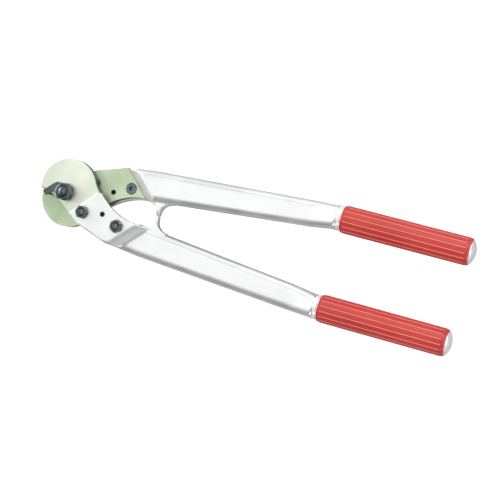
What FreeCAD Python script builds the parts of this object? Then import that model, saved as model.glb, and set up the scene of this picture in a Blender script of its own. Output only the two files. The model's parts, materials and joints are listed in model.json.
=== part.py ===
import FreeCAD, Part
import math
import os

import Sketcher
from FreeCAD import Placement, Rotation, Vector

# Two-hand wire-rope cutter, 500 mm class, jaws closed and handles on their stops.
#
# Frame: the origin is on the pivot axis, on the flat face of the pivot bolt's head, which is the
# plane the tool lies on.  +Z runs up the pivot axis, +X runs along the tool towards the grips.
#
# The tool is two equal halves.  Each half is drawn once, in a half frame whose origin is on the
# pivot axis in the shear plane: its blade lies above the shear plane, its handle goes to the -Y
# side.  The front half stands as drawn; the rear half is the same half turned over about X.

DIMENSIONS = [
    # pivot stack
    ("rest_height", 20.5, "shear plane above the plane the tool lies on"),
    ("shear_gap", 0.05, "half of the oil gap between the two blades"),
    ("bolt_radius", 7.0, "pivot bolt shoulder"),
    ("running_gap", 0.05, "radial clearance of the turning blade on the bolt"),
    ("seat_gap", 0.02, "radial clearance of a part that does not turn"),
    ("bolt_head_flats", 19.0, "pivot bolt head across flats"),
    ("front_washer_radius", 8.8, "washer under the lock plate"),
    ("rear_washer_radius", 12.0, "washer under the bolt head"),
    ("washer_thick", 1.5, "pivot washers"),
    ("thread_radius", 6.0, "pivot bolt thread, plain"),
    ("nut_flats", 18.0, "pivot nut across flats"),
    ("nut_height", 7.5, "pivot nut"),
    ("bolt_end_rise", 1.8, "domed bolt end above the nut"),
    # lock plate
    ("plate_thick", 2.0, "lock plate"),
    ("plate_ring_radius", 9.6, "lock plate under the nut"),
    ("peg_x", -21.9, "peg at the end of the lock plate's arm"),
    ("peg_y", -6.6, "peg at the end of the lock plate's arm"),
    ("peg_radius", 1.2, "peg"),
    ("peg_depth", 4.5, "how far the peg reaches into the rear blade"),
    ("peg_room", 0.5, "space below the peg's end"),
    # blade
    ("blade_thick", 9.0, "blade"),
    ("head_radius", 33.5, "round head of a blade"),
    ("head_x", 1.0, "head centre along the tool"),
    ("head_y", 5.0, "head centre to the side of the pivot"),
    ("tip_y", -2.6, "hook tip past the centre line"),
    ("throat_x", -4.6, "inner end of the cutting edge"),
    ("throat_y", -11.4, "inner end of the cutting edge"),
    ("edge_radius", 80.0, "hollow of the cutting edge"),
    ("edge_bevel", 2.2, "ground bevel along the cutting edge"),
    ("neck_x", 31.6, "end of the head's round"),
    ("neck_radius", 60.0, "hollow behind the head"),
    ("shank_top_x", 40.5, "upper corner of the shank"),
    ("shank_top_y", 7.6, "upper corner of the shank"),
    ("shank_hollow_x", 53.5, "start of the hollow along the shank's inner edge"),
    ("shank_hollow_y", -3.0, "start of the hollow along the shank's inner edge"),
    ("shank_hollow_radius", 70.0, "hollow along the shank's inner edge"),
    ("belly_x", 24.0, "lower corner of the shank"),
    ("belly_y", -32.0, "lower corner of the shank"),
    ("shoulder_reach", 75.0, "pivot to the slanted end of the shank, along its 45 degree normal"),
    ("shank_inner", -15.7, "inner end of the slanted end"),
    ("shank_outer", -44.3, "outer end of the slanted end"),
    # handle
    ("tang_thick", 6.2, "tang over the blade"),
    ("tang_belly_radius", 60.0, "curve of the tang's outer edge"),
    ("tang_hollow_radius", 75.0, "hollow of the tang's inner edge"),
    ("tang_nose_radius", 4.6, "round nose of the tang"),
    ("ramp_start", 76.5, "where the raised tang starts to fall, along the 45 degree normal"),
    ("ramp_end", 88.0, "where the ramp meets the arm's face, along the same normal"),
    ("arm_half_thick", 9.0, "arm"),
    ("arm_round", 7.6, "rounding of the arm's long edges"),
    ("arm_start_x", 56.0, "inner end of the arm section"),
    ("arm_start_drop", 3.4, "outer edge there, inside the arm's straight line"),
    ("arm_bend_x", 78.0, "where the outer edge bends"),
    ("arm_bend_drop", 0.9, "outer edge there, inside the arm's straight line"),
    ("arm_straight_x", 100.0, "where the arm's straight outer edge starts"),
    ("arm_facet_x", 284.0, "where the flat faces end"),
    ("arm_end_x", 311.0, "where the neck becomes round"),
    ("neck_half", 13.2, "half width of the neck there"),
    ("neck_round", 8.6, "rounding of the neck there"),
    ("arm_outer_at_pivot", 42.1, "outer edge of the arm, run back to the pivot"),
    ("arm_inner_at_pivot", 4.5, "inner edge of the arm, run back to the pivot"),
    ("arm_outer_slope", 0.0681, "outer edge, per mm along the tool"),
    ("arm_inner_slope", 0.0975, "inner edge, per mm along the tool"),
    ("bevel_run", 12.0, "sloping shoulder behind the blade's end"),
    ("stop_x", 110.8, "middle of the handle stop"),
    ("stop_half_width", 2.2, "handle stop at its contact face"),
    ("stop_gap", 0.1, "half of the gap between the stops"),
    ("stop_half_thick", 5.5, "handle stop"),
    ("stop_straight", 3.0, "straight sides of the stop before they curve into the arm"),
    ("stop_root", 25.0, "how far the stop is buried in the arm"),
    ("stop_chamfer", 1.2, "bevel round the stop's faces"),
    ("window_radius", 10.5, "curve on the blades' side of the stop"),
    ("fork_radius", 13.0, "curve on the grips' side of the stop"),
    # grip end
    ("grip_offset", 49.4, "grip axis from the centre line"),
    ("shoulder_radius", 14.0, "round end of the arm"),
    ("tenon_radius", 13.0, "handle inside the sleeve"),
    ("grip_start_x", 317.6, "mouth of the sleeve"),
    ("grip_end_x", 461.0, "closed-down end of the sleeve"),
    ("grip_radius", 15.6, "sleeve"),
    ("grip_round", 2.2, "rounding of the sleeve's end"),
    ("mouth_run", 1.4, "chamfer at the sleeve's mouth, along the sleeve"),
    ("mouth_rise", 1.0, "chamfer at the sleeve's mouth, across the sleeve"),
    ("cone_start_x", 314.6, "small step from the round end of the arm to the tenon"),
    ("cone_end_x", 316.6, "small step from the round end of the arm to the tenon"),
    ("tenon_end_x", 462.0, "edge of the handle's domed end"),
    ("handle_end_x", 466.0, "top of the handle's domed end"),
    ("dome_radius", 20.8, "curve of the domed end"),
    # blade screws and spring pins
    ("screw_one_x", 27.4, "first blade screw"),
    ("screw_one_y", -16.8, "first blade screw"),
    ("screw_two_x", 71.4, "second blade screw"),
    ("screw_two_y", -22.2, "second blade screw"),
    ("screw_radius", 4.0, "blade screw shank"),
    ("screw_head_radius", 6.8, "countersunk head"),
    ("screw_hole_gap", 0.1, "clearance round a blade screw"),
    ("screw_socket_flats", 5.0, "hexagon socket"),
    ("screw_socket_deep", 3.0, "hexagon socket"),
    ("screw_nut_flats", 13.0, "nut on a blade screw"),
    ("screw_nut_height", 4.2, "thin nut on a blade screw"),
    ("screw_end_rise", 0.6, "end of the screw above its nut"),
    ("pin_x", 51.6, "spring pin"),
    ("pin_y", -13.3, "spring pin"),
    ("pin_radius", 3.0, "spring pin"),
    ("pin_wall", 1.1, "spring pin"),
    ("pin_slot", 1.0, "slot of the spring pin"),
    ("pin_recess", 0.2, "end of the pin below the blade's sliding face"),
]

# outlines with many corners, each corner (X, Y) in the half frame
CORNERS = {
    "tang": ((11.6, -20.9), (24.8, -31.1), (62.0, -43.4), (84.0, -44.5), (118.0, -42.3),
             (118.0, -16.7), (88.0, -13.5), (54.0, -0.6), (45.5, 6.4), (36.7, 5.5)),
    "plate_arm": ((-2.0, 9.2), (-12.6, 8.7), (-16.2, 6.0), (-27.0, -4.6), (-22.2, -9.2),
                  (-15.2, -2.2), (-8.0, -3.4)),
}

FAR = 40.0                      # past every face, for cuts that go right through
PAST = 10.0                     # clear of a face

rows = list(DIMENSIONS)
for outline, places in CORNERS.items():
    for number, (x, y) in enumerate(places, start=1):
        rows.append((f"{outline}_{number}_x", x, f"corner {number} of the {outline} outline"))
        rows.append((f"{outline}_{number}_y", y, f"corner {number} of the {outline} outline"))

doc = FreeCAD.newDocument("WireRopeCutter")
sheet = doc.addObject("Spreadsheet::Sheet", "Dimensions")
for row, (alias, amount, note) in enumerate(rows, start=1):
    sheet.set(f"A{row}", alias)
    sheet.set(f"B{row}", str(amount))
    sheet.set(f"C{row}", note)
    sheet.setAlias(f"B{row}", alias)
doc.recompute()


class Size:
    """A length with its value and the spreadsheet formula that gives it."""

    def __init__(self, value, formula):
        self.value = value
        self.formula = formula

    def _join(self, sign, other, value):
        return Size(value, f"({self.formula} {sign} {as_size(other).formula})")

    def __add__(self, other):
        return self._join("+", other, self.value + as_size(other).value)

    def __sub__(self, other):
        return self._join("-", other, self.value - as_size(other).value)

    def __mul__(self, other):
        return self._join("*", other, self.value * as_size(other).value)

    def __neg__(self):
        return Size(-self.value, f"(0 - {self.formula})")


def as_size(number):
    """A plain number as a Size; a Size as it is."""
    if isinstance(number, Size):
        return number
    return Size(float(number), repr(float(number)))


def root(size):
    """Square root of a Size."""
    return Size(math.sqrt(size.value), f"sqrt({size.formula})")


def cell(alias):
    """The named cell of the sheet."""
    return Size(float(getattr(sheet, alias)), f"Dimensions.{alias}")


def bind(thing, prop, size):
    """Drive one property from the sheet."""
    size = as_size(size)
    thing.setExpression(prop, size.formula)


# ---------------------------------------------------------------- bodies and sketches

FRONT = Rotation()
DIAGONAL = Rotation(Vector(0, 1, 0), -45)       # an XZ sketch turned to the 45 degree normal
REAR = Rotation(Vector(1, 0, 0), 180)
REST = Vector(0, 0, cell("rest_height").value)
bodies = []


def new_body(label, turn=FRONT):
    """A body of the half frame, stood in the tool's frame."""
    body = doc.addObject("PartDesign::Body", label)
    body.Label = label
    body.Placement = Placement(REST, turn)
    body.setExpression("Placement.Base.z", cell("rest_height").formula)
    bodies.append(body)
    return body


def origin_plane(body, role):
    for feature in body.Origin.OriginFeatures:
        if feature.Role == role:
            return feature
    raise ValueError(role)


def new_sketch(body, name, role="XY_Plane", shift=(0, 0, 0), turn=None):
    """A sketch on one of the body's own planes, moved by shift in the plane's own axes."""
    sketch = body.newObject("Sketcher::SketchObject", name)
    sketch.AttachmentSupport = [(origin_plane(body, role), "")]
    sketch.MapMode = "FlatFace"
    shift = [as_size(step) for step in shift]
    base = Vector(*[step.value for step in shift])
    sketch.AttachmentOffset = Placement(base, turn or Rotation())
    for axis, step in zip("xyz", shift):
        bind(sketch, f"AttachmentOffset.Base.{axis}", step)
    return sketch


def place_point(sketch, edge, end, x, y):
    """Hold one end of an edge at (x, y)."""
    for kind, axis, step in (("DistanceX", -2, x), ("DistanceY", -1, y)):
        if abs(step.value) < 1e-9:
            sketch.addConstraint(Sketcher.Constraint("PointOnObject", edge, end, axis))
            continue
        index = sketch.addConstraint(Sketcher.Constraint(kind, -1, 1, edge, end, step.value))
        bind(sketch, f"Constraints[{index}]", step)


def arc_between(start, end, radius, turn):
    """The shorter arc from start to end; turn is 1 for a left-hand bend, -1 for a right-hand one."""
    chord = end - start
    middle = (start + end) * 0.5
    rise = math.sqrt(max(radius ** 2 - (chord.Length / 2) ** 2, 0.0))
    left = Vector(-chord.y, chord.x, 0)
    left.normalize()
    centre = middle + left * (rise * turn)
    first, last = (start, end) if turn > 0 else (end, start)
    angle_first = math.atan2(first.y - centre.y, first.x - centre.x)
    angle_last = math.atan2(last.y - centre.y, last.x - centre.x)
    circle = Part.Circle(centre, Vector(0, 0, 1), radius)
    return Part.ArcOfCircle(circle, angle_first, angle_last)


def draw_outline(sketch, corners):
    """A closed outline.  A corner is (x, y), or (x, y, radius, turn) where an arc leaves it."""
    points = [(as_size(corner[0]), as_size(corner[1])) for corner in corners]
    ends = []
    for index, corner in enumerate(corners):
        start = Vector(points[index][0].value, points[index][1].value, 0)
        following = points[(index + 1) % len(points)]
        end = Vector(following[0].value, following[1].value, 0)
        if len(corner) == 2:
            edge = sketch.addGeometry(Part.LineSegment(start, end), False)
            ends.append((edge, 1, 2))
            continue
        radius, turn = as_size(corner[2]), corner[3]
        edge = sketch.addGeometry(arc_between(start, end, radius.value, turn), False)
        ends.append((edge, 1, 2) if turn > 0 else (edge, 2, 1))
        constraint = sketch.addConstraint(Sketcher.Constraint("Radius", edge, radius.value))
        bind(sketch, f"Constraints[{constraint}]", radius)
    for index, (edge, first, last) in enumerate(ends):
        next_edge, next_first, _ = ends[(index + 1) % len(ends)]
        sketch.addConstraint(Sketcher.Constraint("Coincident", edge, last, next_edge, next_first))
        place_point(sketch, edge, first, *points[index])


def named_corners(name, bends=None):
    """Corners of a named outline; bends gives (radius, turn) for the arc that leaves a corner."""
    corners = []
    for number in range(1, len(CORNERS[name]) + 1):
        bend = (bends or {}).get(number, ())
        corners.append((cell(f"{name}_{number}_x"), cell(f"{name}_{number}_y"), *bend))
    return corners


def draw_circle(sketch, x, y, radius):
    x, y, radius = as_size(x), as_size(y), as_size(radius)
    edge = sketch.addGeometry(Part.Circle(Vector(x.value, y.value, 0), Vector(0, 0, 1), radius.value), False)
    constraint = sketch.addConstraint(Sketcher.Constraint("Radius", edge, radius.value))
    bind(sketch, f"Constraints[{constraint}]", radius)
    place_point(sketch, edge, 3, x, y)


def draw_hexagon(sketch, x, y, flats, turn=0.0):
    """A hexagon with two corners along X, or turned from there by an angle in radians."""
    corner = flats * (1 / math.sqrt(3))
    corners = []
    for step in range(6):
        angle = math.tau * step / 6 + turn
        corners.append((corner * math.cos(angle) + x, corner * math.sin(angle) + y))
    draw_outline(sketch, corners)


def pad(body, sketch, length, middle=False):
    feature = body.newObject("PartDesign::Pad", f"{sketch.Name}_pad")
    feature.Profile = sketch
    feature.Midplane = middle
    bind(feature, "Length", length)
    sketch.Visibility = False
    doc.recompute()
    return feature


def cut(body, sketch, length, middle=False, reverse=False):
    """A pocket that must take material away."""
    before = body.Shape.Volume
    feature = body.newObject("PartDesign::Pocket", f"{sketch.Name}_cut")
    feature.Profile = sketch
    feature.Midplane = middle
    feature.Reversed = reverse
    bind(feature, "Length", length)
    sketch.Visibility = False
    doc.recompute()
    if body.Shape.Volume > before - 1e-3:
        raise RuntimeError(f"{feature.Name} cuts nothing")
    return feature


def revolve(body, sketch):
    """Turn a profile round the sketch's own X axis."""
    feature = body.newObject("PartDesign::Revolution", f"{sketch.Name}_turned")
    feature.Profile = sketch
    feature.ReferenceAxis = (sketch, ["H_Axis"])
    feature.Angle = 360.0
    sketch.Visibility = False
    doc.recompute()
    return feature


def edges_where(shape, test):
    """Names of the edges whose middle point passes the test."""
    names = []
    for index, edge in enumerate(shape.Edges, start=1):
        middle = edge.valueAt((edge.FirstParameter + edge.LastParameter) / 2)
        if test(edge, middle):
            names.append(f"Edge{index}")
    return names


def soften(body, kind, base, names, size):
    """Fillet or chamfer the named edges of the last feature."""
    feature = body.newObject(f"PartDesign::{kind}", f"{base.Name}_{kind.lower()}")
    feature.Base = (base, names)
    bind(feature, "Radius" if kind == "Fillet" else "Size", size)
    doc.recompute()
    return feature


# ---------------------------------------------------------------- shared sizes

gap = cell("shear_gap")
blade_top = cell("blade_thick")
tang_top = blade_top + cell("tang_thick")
shoulder_distance = cell("shoulder_reach") * math.sqrt(2)     # X minus Y along the slanted end
SCREWS = (("one", cell("screw_one_x"), cell("screw_one_y")),
          ("two", cell("screw_two_x"), cell("screw_two_y")))
NUT_TURNS = {"one": 0.0, "two": math.tau / 12}
PIN = (cell("pin_x"), cell("pin_y"))
halves = (("front", "lower", FRONT), ("rear", "upper", REAR))


def arm_edge(side, x):
    """Distance of the arm's outer or inner edge from the centre line at x."""
    return cell(f"arm_{side}_at_pivot") + cell(f"arm_{side}_slope") * x


# ---------------------------------------------------------------- blade

def make_blade(label, turn):
    """Round hooked head and slanted shank, holes for the pivot, two screws and the pin."""
    body = new_body(label, turn)
    radius, centre_x, centre_y = cell("head_radius"), cell("head_x"), cell("head_y")
    tip_rise = cell("tip_y") - centre_y
    tip_x = centre_x - root(radius * radius - tip_rise * tip_rise)
    neck_run = cell("neck_x") - centre_x
    neck_y = centre_y + root(radius * radius - neck_run * neck_run)
    sketch = new_sketch(body, f"{label}_outline", shift=(0, 0, gap))
    draw_outline(sketch, [
        (tip_x, cell("tip_y"), radius, -1),
        (cell("neck_x"), neck_y, cell("neck_radius"), 1),
        (cell("shank_top_x"), cell("shank_top_y")),
        (cell("shank_hollow_x"), cell("shank_hollow_y"), cell("shank_hollow_radius"), 1),
        (shoulder_distance + cell("shank_inner"), cell("shank_inner")),
        (shoulder_distance + cell("shank_outer"), cell("shank_outer")),
        (cell("belly_x"), cell("belly_y")),
        (cell("throat_x"), cell("throat_y"), cell("edge_radius"), 1),
    ])
    plate = pad(body, sketch, blade_top - gap)

    top, throat = blade_top.value, cell("throat_x").value
    cutting = edges_where(plate.Shape, lambda edge, middle: abs(middle.z - top) < 1e-3
                          and tip_x.value < middle.x < throat and middle.y < 0)
    soften(body, "Chamfer", plate, cutting, cell("edge_bevel"))

    bores = new_sketch(body, f"{label}_bores")
    turning = cell("running_gap") if label == "front_blade" else cell("seat_gap")
    draw_circle(bores, 0, 0, cell("bolt_radius") + turning)
    for _, x, y in SCREWS:
        draw_circle(bores, x, y, cell("screw_radius") + cell("screw_hole_gap"))
    draw_circle(bores, *PIN, cell("pin_radius") + cell("seat_gap"))
    cut(body, bores, FAR, middle=True)

    if label == "rear_blade":
        socket = new_sketch(body, "rear_blade_peg_hole")
        draw_circle(socket, cell("peg_x"), -cell("peg_y"), cell("peg_radius") + cell("seat_gap"))
        cut(body, socket, cell("peg_depth") + cell("peg_room"), reverse=True)

    for name, x, y in SCREWS:
        sink = body.newObject("PartDesign::SubtractiveCone", f"{label}_sink_{name}")
        sink.AttachmentSupport = [(origin_plane(body, "XY_Plane"), "")]
        sink.MapMode = "FlatFace"
        bind(sink, "AttachmentOffset.Base.x", x)
        bind(sink, "AttachmentOffset.Base.y", y)
        head = cell("screw_head_radius") + cell("screw_hole_gap")
        bind(sink, "Radius1", head)
        bind(sink, "Radius2", cell("screw_radius"))
        bind(sink, "Height", head - cell("screw_radius"))
        doc.recompute()
    return body


# ---------------------------------------------------------------- handle

def arm_section(body, name, x, centre, half_width, half_thick, rounding):
    """Rounded rectangle across the tool at x; centre is measured from the centre line."""
    sketch = new_sketch(body, name, "YZ_Plane", shift=(-centre, 0, x))
    flat_width = half_width - rounding
    flat_thick = half_thick - rounding
    draw_outline(sketch, [
        (-flat_width, -half_thick),
        (flat_width, -half_thick, rounding, 1),
        (half_width, -flat_thick),
        (half_width, flat_thick, rounding, 1),
        (flat_width, half_thick),
        (-flat_width, half_thick, rounding, 1),
        (-half_width, flat_thick),
        (-half_width, -flat_thick, rounding, 1),
    ])
    return sketch


def add_arm(body, label):
    """The tapering bar, which turns from flat-faced to round before the grip."""
    sections = []
    stations = (("arm_start_x", cell("arm_start_drop")), ("arm_bend_x", cell("arm_bend_drop")),
                ("arm_straight_x", 0), ("arm_facet_x", 0))
    for index, (alias, drop) in enumerate(stations):
        x = cell(alias)
        outer, inner = arm_edge("outer", x) - drop, arm_edge("inner", x)
        sections.append(arm_section(body, f"{label}_section_{index}", x, (outer + inner) * 0.5,
                                    (outer - inner) * 0.5, cell("arm_half_thick"), cell("arm_round")))
    neck = cell("neck_half")
    sections.append(arm_section(body, f"{label}_section_neck", cell("arm_end_x"), cell("grip_offset"),
                                neck, neck, cell("neck_round")))
    loft = body.newObject("PartDesign::AdditiveLoft", f"{label}_arm")
    loft.Profile = sections[0]
    loft.Sections = sections[1:]
    loft.Ruled = True
    for sketch in sections:
        sketch.Visibility = False
    doc.recompute()


def add_grip_end(body, label):
    """Round shoulder, step, tenon for the sleeve and domed end, turned about the grip's axis."""
    sketch = new_sketch(body, f"{label}_tenon", shift=(0, -cell("grip_offset"), 0))
    shoulder, tenon = cell("shoulder_radius"), cell("tenon_radius")
    root_x = cell("arm_end_x") - 1.0
    draw_outline(sketch, [
        (root_x, 0),
        (cell("handle_end_x"), 0, cell("dome_radius"), 1),
        (cell("tenon_end_x"), tenon),
        (cell("cone_end_x"), tenon),
        (cell("cone_start_x"), shoulder),
        (root_x, shoulder),
    ])
    revolve(body, sketch)


def add_tang(body, label):
    """Flat tang over the blade's shank, raised above the arm and falling to it at a ramp."""
    sketch = new_sketch(body, f"{label}_tang", shift=(0, 0, blade_top))
    draw_outline(sketch, named_corners("tang", {
        3: (cell("tang_belly_radius"), 1),
        7: (cell("tang_hollow_radius"), -1),
        9: (cell("tang_nose_radius"), 1),
    }))
    pad(body, sketch, cell("tang_thick"))
    ramp = new_sketch(body, f"{label}_ramp", "XZ_Plane", turn=DIAGONAL)
    start, end, face = cell("ramp_start"), cell("ramp_end"), cell("arm_half_thick")
    draw_outline(ramp, [
        (start, tang_top),
        (end, face),
        (end + FAR, face),
        (end + FAR, tang_top + PAST),
        (start, tang_top + PAST),
    ])
    cut(body, ramp, FAR * 4, middle=True)


def cut_shoulder(body, label):
    """Seat for the blade's slanted end and, below the shear plane, a sloping shoulder."""
    sketch = new_sketch(body, f"{label}_shoulder", "XZ_Plane", turn=DIAGONAL)
    seat = cell("shoulder_reach")
    low = -cell("arm_half_thick")
    draw_outline(sketch, [
        (seat - FAR * 1.5, blade_top),
        (seat, blade_top),
        (seat, 0),
        (seat + cell("bevel_run"), low),
        (seat + cell("bevel_run"), low - PAST),
        (seat - FAR * 1.5, low - PAST),
    ])
    cut(body, sketch, FAR * 5, middle=True)


def add_stop(body, label):
    """Horn on the inner edge of the arm; the two horns meet when the jaws are closed."""
    sketch = new_sketch(body, f"{label}_stop")
    low_side = cell("stop_x") - cell("stop_half_width")
    high_side = cell("stop_x") + cell("stop_half_width")
    window, fork = cell("window_radius"), cell("fork_radius")
    face = -cell("stop_gap")
    bend = -cell("stop_straight")
    buried = bend - cell("stop_root")
    draw_outline(sketch, [
        (low_side, face),
        (low_side, bend, window, -1),
        (low_side - window, bend - window),
        (low_side - window, buried),
        (high_side + fork, buried),
        (high_side + fork, bend - fork, fork, -1),
        (high_side, bend),
        (high_side, face),
    ])
    thick = cell("stop_half_thick")
    horn = pad(body, sketch, thick * 2, middle=True)
    reach = (bend - window).value
    rims = edges_where(horn.Shape, lambda edge, point: abs(abs(point.z) - thick.value) < 1e-3
                       and point.y > reach)
    soften(body, "Chamfer", horn, rims, cell("stop_chamfer"))


def make_handle(label, turn):
    body = new_body(label, turn)
    add_arm(body, label)
    add_grip_end(body, label)
    add_stop(body, label)
    cut_shoulder(body, label)
    add_tang(body, label)
    holes = new_sketch(body, f"{label}_holes", shift=(0, 0, blade_top))
    for _, x, y in SCREWS:
        draw_circle(holes, x, y, cell("screw_radius") + cell("screw_hole_gap"))
    draw_circle(holes, *PIN, cell("pin_radius") + cell("seat_gap"))
    cut(body, holes, FAR, middle=True)
    return body


# ---------------------------------------------------------------- grip sleeve

def make_grip(label, turn):
    """Soft sleeve pushed over the tenon, its mouth chamfered and its end rounded in."""
    body = new_body(label, turn)
    bore = cell("tenon_radius") + cell("seat_gap")
    start, end = cell("grip_start_x"), cell("grip_end_x")
    radius, rounding = cell("grip_radius"), cell("grip_round")
    sketch = new_sketch(body, f"{label}_profile", shift=(0, -cell("grip_offset"), 0))
    draw_outline(sketch, [
        (start, bore),
        (end, bore),
        (end, radius - rounding, rounding, 1),
        (end - rounding, radius),
        (start + cell("mouth_run"), radius),
        (start, radius - cell("mouth_rise")),
    ])
    revolve(body, sketch)
    return body


# ---------------------------------------------------------------- blade fasteners

def make_screw(label, turn, x, y):
    """Countersunk screw, head flush with the sliding face of the blade."""
    body = new_body(label, turn)
    head, shank = cell("screw_head_radius"), cell("screw_radius")
    length = tang_top + cell("screw_nut_height") + cell("screw_end_rise")
    sketch = new_sketch(body, f"{label}_shank", shift=(x, y, gap))
    draw_circle(sketch, 0, 0, shank)
    pad(body, sketch, length - gap)
    cone = body.newObject("PartDesign::AdditiveCone", f"{label}_head")
    cone.AttachmentSupport = [(origin_plane(body, "XY_Plane"), "")]
    cone.MapMode = "FlatFace"
    for axis, step in zip("xyz", (x, y, gap)):
        bind(cone, f"AttachmentOffset.Base.{axis}", step)
    land = head - cell("screw_hole_gap")
    bind(cone, "Radius1", land)
    bind(cone, "Radius2", shank)
    bind(cone, "Height", land - shank)
    doc.recompute()
    socket = new_sketch(body, f"{label}_socket", shift=(x, y, gap))
    draw_hexagon(socket, 0, 0, cell("screw_socket_flats"))
    cut(body, socket, cell("screw_socket_deep"), reverse=True)
    return body


def make_screw_nut(label, side_turn, x, y, nut_turn):
    """Thin hexagon nut on the outer face of the tang, left as it stood when tight."""
    body = new_body(label, side_turn)
    sketch = new_sketch(body, f"{label}_hexagon", shift=(x, y, tang_top))
    draw_hexagon(sketch, 0, 0, cell("screw_nut_flats"), nut_turn)
    pad(body, sketch, cell("screw_nut_height"))
    bore = new_sketch(body, f"{label}_bore", shift=(x, y, tang_top))
    draw_circle(bore, 0, 0, cell("screw_radius") + cell("seat_gap"))
    cut(body, bore, FAR, middle=True)
    return body


def make_pin(label, turn):
    """Slotted spring pin through blade and tang."""
    body = new_body(label, turn)
    radius = cell("pin_radius")
    recess = gap + cell("pin_recess")
    ring = new_sketch(body, f"{label}_ring", shift=(*PIN, recess))
    draw_circle(ring, 0, 0, radius)
    draw_circle(ring, 0, 0, radius - cell("pin_wall"))
    pad(body, ring, tang_top - gap - cell("pin_recess") * 0.5)
    slot = new_sketch(body, f"{label}_slot", shift=(*PIN, gap))
    half = cell("pin_slot") * 0.5
    near, far = half, radius + half
    draw_outline(slot, [(near, -half), (far, -half), (far, half), (near, half)])
    cut(body, slot, FAR, middle=True)
    return body


# ---------------------------------------------------------------- pivot

def make_washer(label, low, radius):
    """Flat washer between a blade and the bolt's head or the lock plate."""
    body = new_body(label)
    sketch = new_sketch(body, f"{label}_ring", shift=(0, 0, low))
    draw_circle(sketch, 0, 0, radius)
    draw_circle(sketch, 0, 0, cell("bolt_radius") + cell("seat_gap"))
    pad(body, sketch, cell("washer_thick"))
    return body


def make_pivot_bolt(head_top, plate_seat, nut_seat):
    """Hexagon head on the rear side, bearing shoulder through both blades, domed threaded end."""
    body = new_body("pivot_bolt")
    low = -cell("rest_height")
    head = new_sketch(body, "pivot_bolt_hexagon", shift=(0, 0, low))
    draw_hexagon(head, 0, 0, cell("bolt_head_flats"))
    pad(body, head, head_top - low)
    shoulder = new_sketch(body, "pivot_bolt_shoulder", shift=(0, 0, head_top))
    draw_circle(shoulder, 0, 0, cell("bolt_radius"))
    pad(body, shoulder, plate_seat - head_top - 0.1)
    thread = new_sketch(body, "pivot_bolt_thread", shift=(0, 0, head_top))
    draw_circle(thread, 0, 0, cell("thread_radius"))
    shaft = pad(body, thread, nut_seat + cell("nut_height") + cell("bolt_end_rise") - head_top)
    end = shaft.Shape.BoundBox.ZMax
    rim = edges_where(shaft.Shape, lambda edge, point: abs(point.z - end) < 1e-3)
    soften(body, "Fillet", shaft, rim, cell("bolt_end_rise") * 0.9)
    return body


def make_pivot_nut(nut_seat):
    body = new_body("pivot_nut")
    sketch = new_sketch(body, "pivot_nut_hexagon", shift=(0, 0, nut_seat))
    draw_hexagon(sketch, 0, 0, cell("nut_flats"))
    pad(body, sketch, cell("nut_height"))
    bore = new_sketch(body, "pivot_nut_bore", shift=(0, 0, nut_seat))
    draw_circle(bore, 0, 0, cell("thread_radius") + cell("seat_gap"))
    cut(body, bore, FAR, middle=True)
    return body


def make_lock_plate(plate_seat):
    """Plate clamped under the nut, with an arm whose peg holds it to the rear blade."""
    body = new_body("lock_plate")
    thick, radius = cell("plate_thick"), cell("plate_ring_radius")
    ring = new_sketch(body, "lock_plate_ring", shift=(0, 0, plate_seat))
    draw_circle(ring, 0, 0, radius)
    pad(body, ring, thick)
    # the arm leaves the ring to one side, bends at an elbow and ends square over the head's rim
    arm = new_sketch(body, "lock_plate_arm", shift=(0, 0, plate_seat))
    draw_outline(arm, named_corners("plate_arm"))
    pad(body, arm, thick)
    peg = new_sketch(body, "lock_plate_peg", shift=(cell("peg_x"), cell("peg_y"), -cell("peg_depth")))
    draw_circle(peg, 0, 0, cell("peg_radius"))
    pad(body, peg, plate_seat + cell("peg_depth") + thick * 0.25)
    bore = new_sketch(body, "lock_plate_bore", shift=(0, 0, plate_seat))
    draw_circle(bore, 0, 0, cell("thread_radius") + cell("seat_gap"))
    cut(body, bore, FAR, middle=True)
    return body


for blade_side, handle_side, side_turn in halves:
    make_blade(f"{blade_side}_blade", side_turn)
    make_handle(f"{handle_side}_handle", side_turn)
    make_grip(f"{handle_side}_grip", side_turn)
    for which, screw_x, screw_y in SCREWS:
        make_screw(f"{blade_side}_blade_screw_{which}", side_turn, screw_x, screw_y)
        make_screw_nut(f"{blade_side}_blade_nut_{which}", side_turn, screw_x, screw_y, NUT_TURNS[which])
    make_pin(f"{blade_side}_spring_pin", side_turn)

front_washer_low = blade_top + gap
plate_seat = front_washer_low + cell("washer_thick")
nut_seat = plate_seat + cell("plate_thick")
rear_head_top = -plate_seat
make_washer("front_pivot_washer", front_washer_low, cell("front_washer_radius"))
make_washer("rear_pivot_washer", rear_head_top, cell("rear_washer_radius"))
make_pivot_bolt(rear_head_top, plate_seat, nut_seat)
make_pivot_nut(nut_seat)
make_lock_plate(plate_seat)

# ---------------------------------------------------------------- check and write

doc.recompute()
for item in doc.Objects:
    if "Invalid" in item.State or "Error" in item.State:
        raise RuntimeError(f"{item.Name} failed: {item.State}")
os.makedirs("parts", exist_ok=True)
for body in bodies:
    shape = body.Shape
    if shape.isNull() or not shape.isValid() or len(shape.Solids) != 1:
        raise RuntimeError(f"{body.Label} is not one valid solid")
    shape.exportStep(f"parts/{body.Label}.step")
    print(f"{body.Label:28s} {shape.Volume / 1000:8.2f} cm3  {shape.BoundBox}")
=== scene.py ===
# %% [markdown]
# # Wire rope cutter, 500 mm class
#
# Two equal halves turn on one pivot bolt.  Each half is a hardened steel blade with a round
# hooked head, held to a forged aluminium handle by two countersunk screws and a spring pin,
# with a ribbed red vinyl sleeve pushed over the handle's end.
#
# The design frame already holds every part at its true size.  What is added here is what a
# maker would add to a plain design: softened forging edges, turned and chamfered fasteners,
# ribs on the sleeves, and a finish for every surface.

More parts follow.
